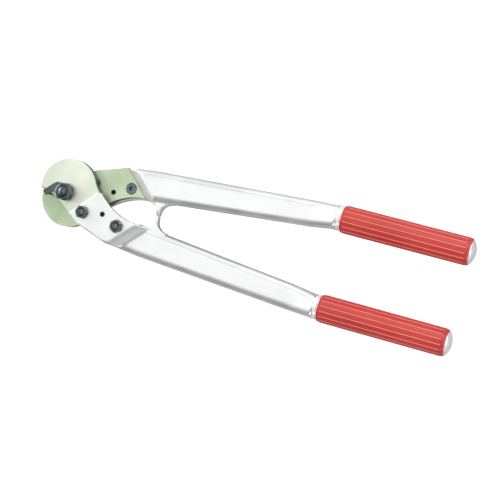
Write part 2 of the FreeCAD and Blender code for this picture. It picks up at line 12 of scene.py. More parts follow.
# %% [markdown]
# ## Load the design frame
#
# The pivot's place comes from the joint in the part's record, so that everything added here
# stays on the same axis as the design.

# %% Load the design frame
import json
import math

import bpy
from mathutils import Euler, Matrix, Vector

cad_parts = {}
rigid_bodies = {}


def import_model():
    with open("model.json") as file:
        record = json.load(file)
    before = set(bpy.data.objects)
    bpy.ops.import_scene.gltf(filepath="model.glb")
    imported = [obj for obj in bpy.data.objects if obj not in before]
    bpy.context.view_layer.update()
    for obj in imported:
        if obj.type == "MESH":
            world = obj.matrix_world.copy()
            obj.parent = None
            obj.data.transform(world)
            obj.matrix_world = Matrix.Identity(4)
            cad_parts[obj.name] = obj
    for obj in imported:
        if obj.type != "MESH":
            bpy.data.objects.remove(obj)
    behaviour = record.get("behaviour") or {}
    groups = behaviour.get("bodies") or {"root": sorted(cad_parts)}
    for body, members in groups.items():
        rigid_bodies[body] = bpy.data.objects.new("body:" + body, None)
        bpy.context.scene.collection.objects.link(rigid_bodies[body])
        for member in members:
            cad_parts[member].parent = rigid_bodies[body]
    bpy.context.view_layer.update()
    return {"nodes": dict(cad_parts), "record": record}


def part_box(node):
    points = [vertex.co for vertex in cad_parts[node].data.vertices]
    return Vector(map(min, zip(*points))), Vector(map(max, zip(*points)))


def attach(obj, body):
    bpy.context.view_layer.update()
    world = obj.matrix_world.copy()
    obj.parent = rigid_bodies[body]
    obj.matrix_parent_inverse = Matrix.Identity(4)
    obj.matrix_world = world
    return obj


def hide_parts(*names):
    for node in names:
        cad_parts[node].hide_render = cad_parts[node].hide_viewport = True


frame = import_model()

MM = 0.001
record = frame["record"]
nodes = frame["nodes"]
pivot = Vector(record["behaviour"]["joints"][0]["pos_m"])
print("pivot at", tuple(pivot), "with", len(nodes), "design parts")


# %% [markdown]
# ## Hand tools
#
# Everything below is modelled with the ordinary edit-mode commands.  These few helpers only
# save repeating the same clicks: start clean, choose the part of a mesh that lies at a certain
# place, apply a modifier, turn a finished piece over for the other half of the tool.

# %% Hand tools
def mode(name):
    bpy.ops.object.mode_set(mode=name)


def only(piece):
    """Make one piece the selected and active one."""
    if bpy.context.object and bpy.context.object.mode != "OBJECT":
        mode("OBJECT")
    bpy.ops.object.select_all(action="DESELECT")
    piece.select_set(True)
    bpy.context.view_layer.objects.active = piece


def settle(name):
    """Name the piece just added and put its origin in the frame's origin."""
    piece = bpy.context.object
    piece.name = piece.data.name = name
    bpy.ops.object.transform_apply(location=True, rotation=True, scale=True)
    return piece


def pick(piece, kind, test):
    """In edit mode, select the vertices, edges or faces whose place passes the test."""
    only(piece)
    mode("EDIT")
    bpy.ops.mesh.select_mode(type=kind)
    bpy.ops.mesh.select_all(action="DESELECT")
    mode("OBJECT")
    mesh = piece.data
    if kind == "VERT":
        chosen = [item for item in mesh.vertices if test(item.co)]
    elif kind == "EDGE":
        points = mesh.vertices
        chosen = [item for item in mesh.edges if all(test(points[i].co) for i in item.vertices)]
    else:
        chosen = [item for item in mesh.polygons if test(item.center)]
    for item in chosen:
        item.select = True
    mode("EDIT")
    return len(chosen)


def apply(piece, kind, **settings):
    """Add a modifier, set it and apply it."""
    only(piece)
    modifier = piece.modifiers.new(kind.title(), kind)
    for setting, value in settings.items():
        setattr(modifier, setting, value)
    bpy.ops.object.modifier_apply(modifier=modifier.name)


def carve(piece, tool, operation="DIFFERENCE"):
    """Boolean with another piece, which is used up."""
    apply(piece, "BOOLEAN", object=tool, operation=operation, solver="EXACT")
    bpy.data.objects.remove(tool)


def clean(piece, sharp=35.0):
    """Merge doubles, point the normals outward and shade by angle."""
    only(piece)
    mode("EDIT")
    bpy.ops.mesh.select_all(action="SELECT")
    bpy.ops.mesh.remove_doubles(threshold=0.01 * MM)
    bpy.ops.mesh.normals_make_consistent(inside=False)
    mode("OBJECT")
    bpy.ops.object.shade_smooth_by_angle(angle=math.radians(sharp))
    return piece


def design_copy(node, name):
    """A merged copy of a design part, to be worked on."""
    only(nodes[node])
    bpy.ops.object.duplicate()
    bpy.ops.object.parent_clear(type="CLEAR_KEEP_TRANSFORM")
    piece = settle(name)
    return clean(piece)


def copy_of(piece, name):
    only(piece)
    bpy.ops.object.duplicate()
    twin = bpy.context.object
    twin.name = twin.data.name = name
    return twin


def turned_over(piece, name):
    """The same piece for the other half: a copy turned half round about the tool's length."""
    twin = copy_of(piece, name)
    bpy.ops.transform.rotate(value=math.pi, orient_axis="X", orient_type="GLOBAL", center_override=pivot)
    bpy.ops.object.transform_apply(location=True, rotation=True, scale=True)
    return twin


def stand(piece, node, body, slot_name):
    """Let a finished piece stand for its design part, on the same body and with the same finish."""
    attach(piece, body)
    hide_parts(node)
    pieces.append((piece, slot_name))


def draw_up(centre, stations, columns=64):
    """A turned blank: a disc at the first (height, radius), drawn up ring by ring to the last."""
    height, radius = stations[0]
    bpy.ops.object.select_all(action="DESELECT")
    bpy.ops.mesh.primitive_circle_add(vertices=columns, radius=radius, fill_type="NGON",
                                      location=centre + Vector((0, 0, height)))
    mode("EDIT")
    bpy.ops.mesh.select_all(action="SELECT")
    for next_height, next_radius in stations[1:]:
        rise = next_height - height
        bpy.ops.mesh.extrude_region_move(TRANSFORM_OT_translate={"value": (0, 0, rise)})
        ratio = next_radius / radius
        bpy.ops.transform.resize(value=(ratio, ratio, 1),
                                 center_override=centre + Vector((0, 0, next_height)))
        height, radius = next_height, next_radius
    mode("OBJECT")
    return settle("blank")


def hexagon_bar(centre, flats, low, high, turn):
    """A hexagon bar with two corners towards +X and -X, turned by the given angle."""
    middle = centre + Vector((0, 0, (low + high) / 2))
    bpy.ops.object.select_all(action="DESELECT")
    bpy.ops.mesh.primitive_cylinder_add(vertices=6, radius=flats / math.sqrt(3), depth=high - low,
                                        location=middle, rotation=(0, 0, math.pi / 2 + turn))
    return settle("hexagon bar")


pieces = []
print("hand tools ready")


# %% [markdown]
# ## Handles
#
# Each handle is a closed-die forging in aluminium, tumbled in stone until every edge is soft,
# then machined where it meets other parts: the seat of the blade and the holes for the screws
# and the pin.  A voxel remesh followed by a few rounds of smoothing does to the mesh what the
# dies and the tumbling do to the metal, and the holes are drilled afterwards so that their
# rims stay crisp.

# %% Handles: forging blank
SKIN = 0.8 * MM                 # grain of the forging mesh
TUMBLE = 5                      # rounds of smoothing
SCREW_HOLE = 4.1 * MM           # radius; an M8 screw with play
PLUG_MORE = 0.3 * MM            # a plug is a little wider than the hole that it fills

lower_low, lower_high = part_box("lower_handle")
handle = design_copy("lower_handle", "lower_handle_forging")
nut_boxes = [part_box(f"front_blade_nut_{which}") for which in ("one", "two")]
screw_axes = [(low + high) / 2 for low, high in nut_boxes]
tang_face = nut_boxes[0][0].z
pin_low, pin_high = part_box("front_spring_pin")
pin_axis = (pin_low + pin_high) / 2
pin_radius = (pin_high.x - pin_low.x) / 2
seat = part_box("front_blade")[1].z
for axis, radius in [(place, SCREW_HOLE) for place in screw_axes] + [(pin_axis, pin_radius)]:
    wide = radius + PLUG_MORE
    plug = draw_up(Vector((axis.x, axis.y, 0)), [(seat, wide), (tang_face, wide)], 32)
    carve(handle, plug, "UNION")
apply(handle, "REMESH", mode="VOXEL", voxel_size=SKIN)
apply(handle, "SMOOTH", factor=0.5, iterations=TUMBLE)
print("forging blank:", len(handle.data.polygons), "faces")

# %% [markdown]
# ## Forged blends
#
# The raised tang runs down to the arm over a ramp, and the flat faces of the arm open into the
# round neck.  In the forging neither ends in a crease, so the mesh is relaxed in just those two
# places.  The ramp crosses the arm on the diagonal, so it is picked by its distance from the
# pivot along that diagonal; the stop horn, which lies in the same band, is left crisp.

# %% Handles: forged blends
HORN_LOW = 103.0 * MM
HORN_HIGH = 119.0 * MM
HORN_ROOT = -20.0 * MM
RAMP_START = 72.0 * MM          # both measured from the pivot, on the diagonal
RAMP_END = 92.0 * MM
NECK_START = 284.0 * MM
NECK_REACH = 7.0 * MM
upper_face = pivot.z + 8.5 * MM


def near_ramp(place):
    if HORN_LOW < place.x < HORN_HIGH and place.y > HORN_ROOT:
        return False
    along = (place.x - place.y) * math.sqrt(0.5)
    return RAMP_START < along < RAMP_END and place.z > upper_face


def near_neck(place):
    return abs(place.x - NECK_START) < NECK_REACH


for where, repeats in ((near_ramp, 16), (near_neck, 8)):
    count = pick(handle, "VERT", where)
    bpy.ops.mesh.vertices_smooth(factor=0.5, repeat=repeats)
    mode("OBJECT")
    print("blended", count, "points,", where.__name__.replace("_", " "))

# %% [markdown]
# ## Drilled holes and the second handle
#
# The holes are drilled through the smoothed forging, so their rims are sharp.  The upper handle
# is the lower one turned over about the tool's length, as on the real tool.

# %% Handles: drilled holes and the second handle
PIN_PLAY = 0.05 * MM
OVERRUN = 5.0 * MM              # the drill starts before the metal and ends past it
for axis, radius in [(place, SCREW_HOLE) for place in screw_axes] + [(pin_axis, pin_radius + PIN_PLAY)]:
    run = [(seat - OVERRUN, radius), (tang_face + OVERRUN, radius)]
    carve(handle, draw_up(Vector((axis.x, axis.y, 0)), run, 48))
clean(handle, 40.0)
stand(handle, "lower_handle", "front_half", "forged_aluminium")
upper = turned_over(handle, "upper_handle_forging")
stand(upper, "upper_handle", "rear_half", "forged_aluminium")
print("handle length", round((lower_high.x - lower_low.x) / MM, 1), "mm")


# %% [markdown]
# ## Sleeves
#
# The sleeve is dip-moulded soft vinyl.  Straight ribs run along it and stop short of both ends,
# where a plain band is left; the far end is rounded in over the handle's domed end.  It starts
# as an open tube; the ribs are narrow strips of its skin, raised in one go.

# %% Sleeves
RIBS = 16
COLUMNS = 8                     # strips of skin from one rib to the next
RIB_HIGH = 0.7 * MM
MOUTH_BAND = 3.0 * MM
END_BAND = 4.0 * MM
END_ROUND = 2.2 * MM
MOUTH_ROUND = 0.9 * MM
SLEEVE_BORE = 13.02 * MM        # radius, a hair over the handle's tenon
RIB_FLANK = 0.42 * MM           # how far a rib's crest draws in from its foot


def make_sleeve(node, name):
    low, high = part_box(node)
    middle = (low + high) / 2
    axis = Vector((0, middle.y, middle.z))
    skin = (high.y - low.y) / 2 - RIB_HIGH
    bore = SLEEVE_BORE
    bpy.ops.object.select_all(action="DESELECT")
    bpy.ops.mesh.primitive_cylinder_add(vertices=RIBS * COLUMNS, radius=skin, depth=high.x - low.x,
                                        end_fill_type="NOTHING", location=middle,
                                        rotation=(0, math.pi / 2, 0))
    sleeve = settle(name)
    # close the tube: both ends turned in to the bore, then joined along the bore
    for end in (low.x, high.x):
        pick(sleeve, "EDGE", lambda place, end=end: abs(place.x - end) < 0.01 * MM)
        bpy.ops.mesh.extrude_edges_move()
        bpy.ops.transform.resize(value=(1, bore / skin, bore / skin),
                                 center_override=Vector((end, middle.y, middle.z)))
    pick(sleeve, "EDGE", lambda place: (place - axis - Vector((place.x, 0, 0))).length < bore + 0.01 * MM)
    bpy.ops.mesh.bridge_edge_loops()
    # rounded rims
    for end, size, steps in ((low.x, MOUTH_ROUND, 3), (high.x, END_ROUND, 6)):
        pick(sleeve, "EDGE", lambda place, end=end: abs(place.x - end) < 0.01 * MM
             and (place - axis - Vector((place.x, 0, 0))).length > skin - 0.01 * MM)
        bpy.ops.mesh.bevel(offset=size, segments=steps, affect="EDGES")
    # rings where the ribs begin and end
    for cut_x in (low.x + MOUTH_BAND, high.x - END_BAND):
        mode("EDIT")
        bpy.ops.mesh.select_all(action="SELECT")
        bpy.ops.mesh.bisect(plane_co=(cut_x, 0, 0), plane_no=(1, 0, 0))
    pitch = math.tau / RIBS

    def on_rib(place):
        if not low.x + MOUTH_BAND < place.x < high.x - END_BAND:
            return False
        across = place - axis - Vector((place.x, 0, 0))
        if across.length < (skin + bore) / 2:
            return False
        share = (math.atan2(across.z, across.y) % pitch) / pitch
        return abs(share - 0.5) < 1.0 / COLUMNS

    count = pick(sleeve, "FACE", on_rib)
    bpy.ops.mesh.inset(thickness=RIB_FLANK, depth=RIB_HIGH)
    mode("OBJECT")
    apply(sleeve, "BEVEL", width=0.2 * MM, segments=2, limit_method="ANGLE",
          angle_limit=math.radians(20))
    clean(sleeve, 60.0)
    print(name, "has", count // 2, "ribs and", len(sleeve.data.polygons), "faces")
    return sleeve


lower_sleeve = make_sleeve("lower_grip", "lower_sleeve")
stand(lower_sleeve, "lower_grip", "front_half", "red_sleeve")
upper_sleeve = turned_over(lower_sleeve, "upper_sleeve")
stand(upper_sleeve, "upper_grip", "rear_half", "red_sleeve")


# %% [markdown]
# ## Nuts
#
# A nut is sawn from hexagon bar and its top is turned to a 30 degree cone, which leaves the
# curved edge on each flat.  The same is done here: a hexagon bar, cut to the common volume
# with a turned blank, then drilled and countersunk.

# %% Nuts
def hexagon_blank(centre, flats, low, high, turn, coned_low=False, coned_high=True):
    """Hexagon bar whose corners are turned off at one or both ends."""
    corner = flats / math.sqrt(3)
    face = flats * 0.475
    rise = (corner - face) * math.tan(math.radians(30))
    stations = [(low, face if coned_low else corner)]
    if coned_low:
        stations.append((low + rise, corner + 0.05 * MM))
    stations += [(high - rise if coned_high else high, corner + 0.05 * MM)]
    if coned_high:
        stations.append((high, face))
    bar = hexagon_bar(centre, flats, low, high, turn)
    carve(bar, draw_up(centre, stations, 96), "INTERSECT")
    return bar


def make_nut(name, centre, flats, low, high, bore, turn=0.0):
    nut = hexagon_blank(centre, flats, low, high, turn)
    sink = 0.8 * MM
    drill = draw_up(centre, [(low - sink, bore), (high - sink, bore), (high + sink, bore + 2 * sink)], 64)
    carve(nut, drill)
    apply(nut, "BEVEL", width=0.12 * MM, segments=2, limit_method="ANGLE", angle_limit=math.radians(25))
    nut.name = nut.data.name = name
    return clean(nut)


M8_BORE = 4.02 * MM             # radii, a hair over the threads inside them
M12_BORE = 6.02 * MM
for index, which in enumerate(("one", "two")):
    low, high = nut_boxes[index]
    centre = Vector((screw_axes[index].x, screw_axes[index].y, 0))
    flats = min(high.x - low.x, high.y - low.y)
    turn = index * math.pi / 6
    nut = make_nut(f"front_nut_{which}", centre, flats, low.z, high.z, M8_BORE, turn)
    stand(nut, f"front_blade_nut_{which}", "front_half", "black_steel")
    stand(turned_over(nut, f"rear_nut_{which}"), f"rear_blade_nut_{which}", "rear_half", "black_steel")

nut_low, nut_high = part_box("pivot_nut")
flats = nut_high.y - nut_low.y
pivot_nut = make_nut("pivot_hexagon_nut", Vector((0, 0, 0)), flats, nut_low.z, nut_high.z, M12_BORE)
stand(pivot_nut, "pivot_nut", "rear_half", "black_steel")
print("pivot nut", round(flats / MM, 1), "mm across flats")


# %% [markdown]
# ## Screws and pivot bolt
#
# The blade screws are countersunk socket screws, flush with the sliding faces so that the
# blades pass each other; their ends show inside the nuts.  The pivot bolt has a hexagon head
# on the rear side, a ground bearing shoulder and a domed end.  Thread crests are turned as
# plain rings, because only two or three of them show.  A narrow bevel round each countersunk
# head leaves a groove against the blade.

# %% Screws
def thread(low, high, radius, pitch):
    """Stations of a thread between two heights, as rings."""
    stations = []
    turns = int((high - low) / pitch)
    for ring in range(turns):
        height = low + ring * pitch
        stations += [(height, radius - 0.3 * pitch), (height + 0.35 * pitch, radius),
                     (height + 0.6 * pitch, radius)]
    return stations + [(low + turns * pitch, radius - 0.3 * pitch)]


SOCKET_FLATS = 5.0 * MM
SOCKET_DEEP = 3.0 * MM
SHANK = 4.0 * MM                # radius of an M8 thread
M8_PITCH = 1.25 * MM
RIM_BEVEL = 0.55 * MM
THREAD_START = 8.0 * MM         # from the head's face
for which in ("one", "two"):
    low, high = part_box(f"front_blade_screw_{which}")
    centre = Vector(((low.x + high.x) / 2, (low.y + high.y) / 2, 0))
    head = (high.y - low.y) / 2
    stations = [(low.z, head - 2 * RIM_BEVEL), (low.z + RIM_BEVEL, head - RIM_BEVEL),
                (low.z + head - SHANK, SHANK)]
    stations += thread(low.z + THREAD_START, high.z - 0.6 * MM, SHANK, M8_PITCH)
    stations += [(high.z - 0.1 * MM, SHANK - 0.6 * MM), (high.z, SHANK - 1.1 * MM)]
    screw = draw_up(centre, stations, 64)
    carve(screw, hexagon_bar(centre, SOCKET_FLATS, low.z - SOCKET_DEEP, low.z + SOCKET_DEEP, 0.0))
    screw.name = screw.data.name = f"front_screw_{which}"
    clean(screw)
    stand(screw, f"front_blade_screw_{which}", "front_half", "black_steel")
    twin = turned_over(screw, f"rear_screw_{which}")
    stand(twin, f"rear_blade_screw_{which}", "rear_half", "black_steel")
print("four screws")

# %% [markdown]
# ## Pivot bolt
#
# The bolt's head ends under the rear washer and its shoulder just below the lock plate's outer
# face; from there the M12 thread runs through the nut and ends in a shallow dome.

# %% Pivot bolt
SHOULDER = 7.0 * MM             # radii
ROD = 6.0 * MM
M12_PITCH = 1.75 * MM
DOME_RADIUS = 13.0 * MM
DOME_ANGLE = math.radians(25)
DOME_STEPS = 8
low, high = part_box("pivot_bolt")
head_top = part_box("rear_pivot_washer")[0].z
shoulder_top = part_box("lock_plate")[1].z - 2.1 * MM
origin = Vector((0, 0, 0))
bolt = hexagon_blank(origin, high.y - low.y, low.z, head_top, 0.0, coned_low=True, coned_high=False)
stations = [(head_top - 1.0 * MM, SHOULDER), (shoulder_top, SHOULDER)]
stations += thread(shoulder_top + 0.2 * MM, high.z - 1.9 * MM, ROD, M12_PITCH)
for step in range(DOME_STEPS):
    angle = DOME_ANGLE * (1 - step / DOME_STEPS)
    reach = (ROD - 0.5 * MM) * math.sin(angle) / math.sin(DOME_ANGLE)
    stations.append((high.z - (1 - math.cos(angle)) * DOME_RADIUS, reach))
carve(bolt, draw_up(origin, stations, 96), "UNION")
apply(bolt, "BEVEL", width=0.12 * MM, segments=2, limit_method="ANGLE", angle_limit=math.radians(40))
bolt.name = bolt.data.name = "pivot_hexagon_bolt"
clean(bolt)
stand(bolt, "pivot_bolt", "rear_half", "black_steel")
print("pivot bolt", round((high.z - low.z) / MM, 2), "mm long")


# %% [markdown]
# ## Shared surface effects
#
# Four effects come back on several finishes: a fine grain, edges rubbed bright, hairline
# scratches and a darkening of hollow corners.  Each is built once as a node group with named
# values, and each finish uses it with values of its own.

# %% Node tools
def new_group(name, inputs, output):
    tree = bpy.data.node_groups.new(name, "ShaderNodeTree")
    for label, kind, value in inputs:
        socket = tree.interface.new_socket(label, in_out="INPUT", socket_type=kind)
        socket.default_value = value
    tree.interface.new_socket(output, in_out="OUTPUT", socket_type="NodeSocketFloat")
    return tree, tree.nodes.new("NodeGroupInput"), tree.nodes.new("NodeGroupOutput")


def add(tree, kind, **settings):
    made = tree.nodes.new(kind)
    for setting, value in settings.items():
        setattr(made, setting, value)
    return made


def feed(tree, value, socket):
    """Link a socket to an input, or set the input to a number or colour."""
    if isinstance(value, bpy.types.NodeSocket):
        tree.links.new(value, socket)
    else:
        socket.default_value = value


def work_out(tree, operation, first, second, clamp=False):
    made = add(tree, "ShaderNodeMath", operation=operation, use_clamp=clamp)
    feed(tree, first, made.inputs[0])
    feed(tree, second, made.inputs[1])
    return made.outputs[0]


def stretch_range(tree, value, low, high, to_low=0.0, to_high=1.0):
    made = add(tree, "ShaderNodeMapRange", interpolation_type="SMOOTHSTEP")
    for label, amount in (("Value", value), ("From Min", low), ("From Max", high),
                          ("To Min", to_low), ("To Max", to_high)):
        feed(tree, amount, made.inputs[label])
    return made.outputs["Result"]


def use_group(tree, group, **values):
    made = add(tree, "ShaderNodeGroup", node_tree=group)
    for label, value in values.items():
        feed(tree, value, made.inputs[label.replace("_", " ")])
    return made.outputs[0]


def blend(tree, factor, first, second):
    made = add(tree, "ShaderNodeMix", data_type="RGBA")
    feed(tree, factor, made.inputs["Factor"])
    feed(tree, first, made.inputs["A"])
    feed(tree, second, made.inputs["B"])
    return made.outputs["Result"]


print("node tools ready")

# %% [markdown]
# ## Grain
#
# One noise, stretched by choice.  Everything else here that has to look natural starts
# from it: cloudy colour, fine relief, and the patches that break up wear and the darker hollows.

# %% Grain
GRAIN, into, out = new_group("fine grain", (
    ("Scale", "NodeSocketFloat", 400.0),
    ("Stretch", "NodeSocketVector", (1.0, 1.0, 1.0)),
    ("Detail", "NodeSocketFloat", 4.0)), "Value")
place = add(GRAIN, "ShaderNodeTexCoord").outputs["Object"]
mapping = add(GRAIN, "ShaderNodeMapping")
noise = add(GRAIN, "ShaderNodeTexNoise")
feed(GRAIN, place, mapping.inputs["Vector"])
feed(GRAIN, into.outputs["Stretch"], mapping.inputs["Scale"])
feed(GRAIN, mapping.outputs["Vector"], noise.inputs["Vector"])
feed(GRAIN, into.outputs["Scale"], noise.inputs["Scale"])
feed(GRAIN, into.outputs["Detail"], noise.inputs["Detail"])
feed(GRAIN, noise.outputs["Fac"], out.inputs["Value"])
print("fine grain:", len(GRAIN.nodes), "nodes")

# %% [markdown]
# ## Worn edges
#
# Handling rubs outer edges bright.  A rounded normal differs from the true one near an
# edge, and the difference, broken into patches, is the mask.

# %% Worn edges
WORN, into, out = new_group("worn edges", (
    ("Width", "NodeSocketFloat", 0.5 * MM),
    ("Break up", "NodeSocketFloat", 350.0),
    ("Amount", "NodeSocketFloat", 0.8)), "Mask")
bevel = add(WORN, "ShaderNodeBevel", samples=4)
feed(WORN, into.outputs["Width"], bevel.inputs["Radius"])
align = add(WORN, "ShaderNodeVectorMath", operation="DOT_PRODUCT")
feed(WORN, bevel.outputs["Normal"], align.inputs[0])
feed(WORN, add(WORN, "ShaderNodeNewGeometry").outputs["Normal"], align.inputs[1])
edge = work_out(WORN, "SUBTRACT", 1.0, align.outputs["Value"])
patches = use_group(WORN, GRAIN, Scale=into.outputs["Break up"])
patches = stretch_range(WORN, patches, 0.35, 0.6)
edge = stretch_range(WORN, edge, 0.02, 0.2)
mask = work_out(WORN, "MULTIPLY", edge, patches)
mask = work_out(WORN, "MULTIPLY", mask, into.outputs["Amount"], clamp=True)
feed(WORN, mask, out.inputs["Mask"])
print("worn edges:", len(WORN.nodes), "nodes")

# %% [markdown]
# ## Hairline scratches
#
# Tools slide in a chest and pick up short fine lines along one direction.  Two stretched
# noises are multiplied, so that the lines come in groups and not everywhere.

# %% Hairline scratches
HAIR, into, out = new_group("hairlines", (
    ("Scale", "NodeSocketFloat", 60.0),
    ("Along", "NodeSocketVector", (1.0, 30.0, 30.0)),
    ("Amount", "NodeSocketFloat", 0.5)), "Mask")
lines = use_group(HAIR, GRAIN, Scale=into.outputs["Scale"], Stretch=into.outputs["Along"], Detail=2.0)
places = use_group(HAIR, GRAIN, Scale=45.0)
lines = stretch_range(HAIR, lines, 0.63, 0.7)
places = stretch_range(HAIR, places, 0.45, 0.62)
mask = work_out(HAIR, "MULTIPLY", lines, places)
mask = work_out(HAIR, "MULTIPLY", mask, into.outputs["Amount"], clamp=True)
feed(HAIR, mask, out.inputs["Mask"])
print("hairlines:", len(HAIR.nodes), "nodes")

# %% [markdown]
# ## Darker hollows
#
# Hollow places are made darker.  They are found by how much they shade themselves within a
# short reach.

# %% Darker hollows
HOLLOWS, into, out = new_group("darker hollows", (
    ("Reach", "NodeSocketFloat", 2.0 * MM),
    ("Scale", "NodeSocketFloat", 150.0),
    ("Amount", "NodeSocketFloat", 0.5)), "Mask")
hollow = add(HOLLOWS, "ShaderNodeAmbientOcclusion", samples=6)
feed(HOLLOWS, into.outputs["Reach"], hollow.inputs["Distance"])
corner = stretch_range(HOLLOWS, hollow.outputs["AO"], 0.95, 0.45)
cloud = use_group(HOLLOWS, GRAIN, Scale=into.outputs["Scale"])
cloud = stretch_range(HOLLOWS, cloud, 0.3, 0.62, 0.3, 1.0)
mask = work_out(HOLLOWS, "MULTIPLY", corner, cloud)
mask = work_out(HOLLOWS, "MULTIPLY", mask, into.outputs["Amount"], clamp=True)
feed(HOLLOWS, mask, out.inputs["Mask"])
print("darker hollows:", len(HOLLOWS.nodes), "nodes")


# %% [markdown]
# ## Finishes
#
# All metals here are one recipe with different values: a base colour that varies softly, a
# roughness that varies with it, a fine relief, rubbed edges, hairlines and darker hollows.  The
# sleeves' vinyl has a recipe of its own.

# %% Metal recipe
def start_finish(name):
    finish = bpy.data.materials.new(name)
    finish.use_nodes = True
    tree = finish.node_tree
    return finish, tree, tree.nodes["Principled BSDF"]


def metal(name, dark, light, metallic, rough, rough_change, grain, stretch, depth, worn, worn_colour,
          hair, along, hollow_amount, hollow_colour, soften=0.25 * MM, coat=0.0, rim_skin_and_shade=None):
    finish, tree, surface = start_finish(name)
    cloud = use_group(tree, GRAIN, Scale=28.0, Stretch=(1.0, 1.0, 1.0), Detail=3.0)
    cloud = stretch_range(tree, cloud, 0.32, 0.68)
    fine = use_group(tree, GRAIN, Scale=grain, Stretch=stretch, Detail=5.0)
    edges = use_group(tree, WORN, Width=0.6 * MM, Break_up=420.0, Amount=worn)
    scratches = use_group(tree, HAIR, Scale=55.0, Along=along, Amount=hair)
    hollow_mask = use_group(tree, HOLLOWS, Reach=2.5 * MM, Scale=160.0, Amount=hollow_amount)
    colour = blend(tree, cloud, dark, light)
    if rim_skin_and_shade:
        # only the two faces are ground; the side walls are painted dark, partly as the forging's own dark
        # skin and partly as painted shade and shadow along the walls
        facing = add(tree, "ShaderNodeSeparateXYZ")
        feed(tree, add(tree, "ShaderNodeTexCoord").outputs["Normal"], facing.inputs[0])
        upright = work_out(tree, "ABSOLUTE", facing.outputs["Z"], 0.0)
        colour = blend(tree, stretch_range(tree, upright, 0.55, 0.25), colour, rim_skin_and_shade)
    colour = blend(tree, edges, colour, worn_colour)
    # darker in hollow corners, found by ambient occlusion
    colour = blend(tree, hollow_mask, colour, hollow_colour)
    feed(tree, colour, surface.inputs["Base Color"])
    change = work_out(tree, "MULTIPLY", work_out(tree, "ADD", cloud, fine), rough_change)
    roughness = work_out(tree, "ADD", change, rough - rough_change)
    roughness = work_out(tree, "ADD", roughness, work_out(tree, "MULTIPLY", scratches, 0.18))
    feed(tree, roughness, surface.inputs["Roughness"])
    feed(tree, metallic, surface.inputs["Metallic"])
    feed(tree, coat, surface.inputs["Coat Weight"])
    rounded = add(tree, "ShaderNodeBevel", samples=4)
    feed(tree, soften, rounded.inputs["Radius"])
    height = work_out(tree, "SUBTRACT", fine, work_out(tree, "MULTIPLY", scratches, 0.6))
    relief = add(tree, "ShaderNodeBump")
    feed(tree, 1.0, relief.inputs["Strength"])
    feed(tree, depth, relief.inputs["Distance"])
    feed(tree, height, relief.inputs["Height"])
    feed(tree, rounded.outputs["Normal"], relief.inputs["Normal"])
    feed(tree, relief.outputs["Normal"], surface.inputs["Normal"])
    return finish


# %% [markdown]
# ## Metals of the tool
#
# The aluminium is tumbled in stone, and so even and soft.  The blades are ground on their faces
# only, and have a pale green cast, the rear one deeper than the front one; their side walls are
# painted dark, partly as forge skin and partly as painted shade.  Fasteners are blackened; the
# spring pins are darker still.  Other small parts are plain turned steel.

# %% Metals of the tool
EVEN = (1.0, 1.0, 1.0)
DARK_BROWN = (0.045, 0.042, 0.036, 1.0)

